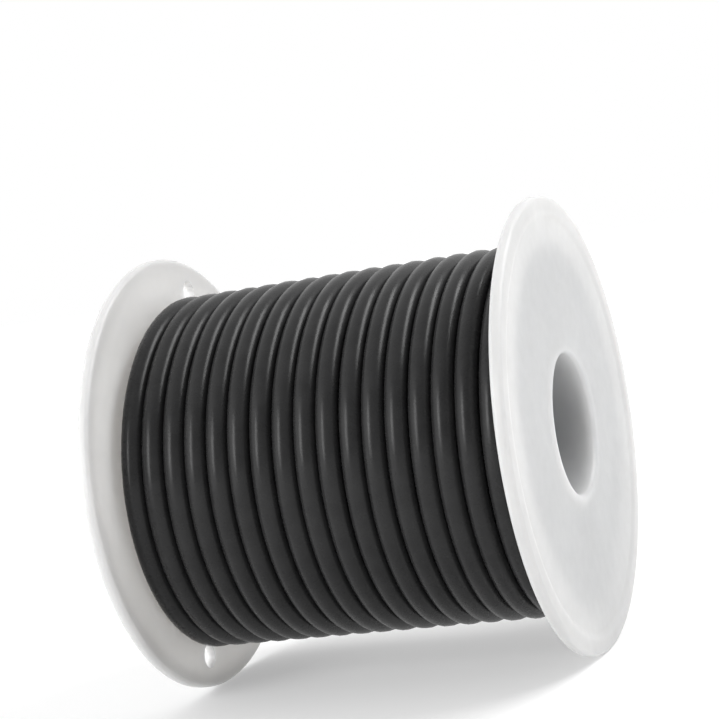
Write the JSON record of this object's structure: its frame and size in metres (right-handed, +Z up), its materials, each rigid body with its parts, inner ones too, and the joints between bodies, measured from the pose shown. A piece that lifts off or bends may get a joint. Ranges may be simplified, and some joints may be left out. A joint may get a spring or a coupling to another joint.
{
  "type": "wire spool",
  "caption": "Round-flanged plastic spool with a through arbor bore, close-wound with stranded insulated wire whose two ends leave through one flange.",
  "frame": {"origin": "centre of the arbor bore, midway along the spool's plastic body", "axes": "+X along the arbor bore, towards the flange that has no holes for the wire; +Z up with the spool lying on its two rims; +Y completes a right-handed frame, away from the viewer"},
  "size_m": [0.0948, 0.0888, 0.0888],
  "materials": {
    "flange_plastic": "natural translucent, satin",
    "barrel_plastic": "natural, satin",
    "wire_insulation": "smooth, semi-gloss",
    "copper": "bare copper, cut ends"
  },
  "bodies": {
    "root": {"left_flange": "flange_plastic", "right_flange": "flange_plastic", "barrel_tube": "barrel_plastic", "wire_winding": "wire_insulation", "wire_start_tail": "wire_insulation", "wire_free_tail": "wire_insulation", "start_end_strands": "copper", "free_end_strands": "copper"}
  },
  "joints": []
}
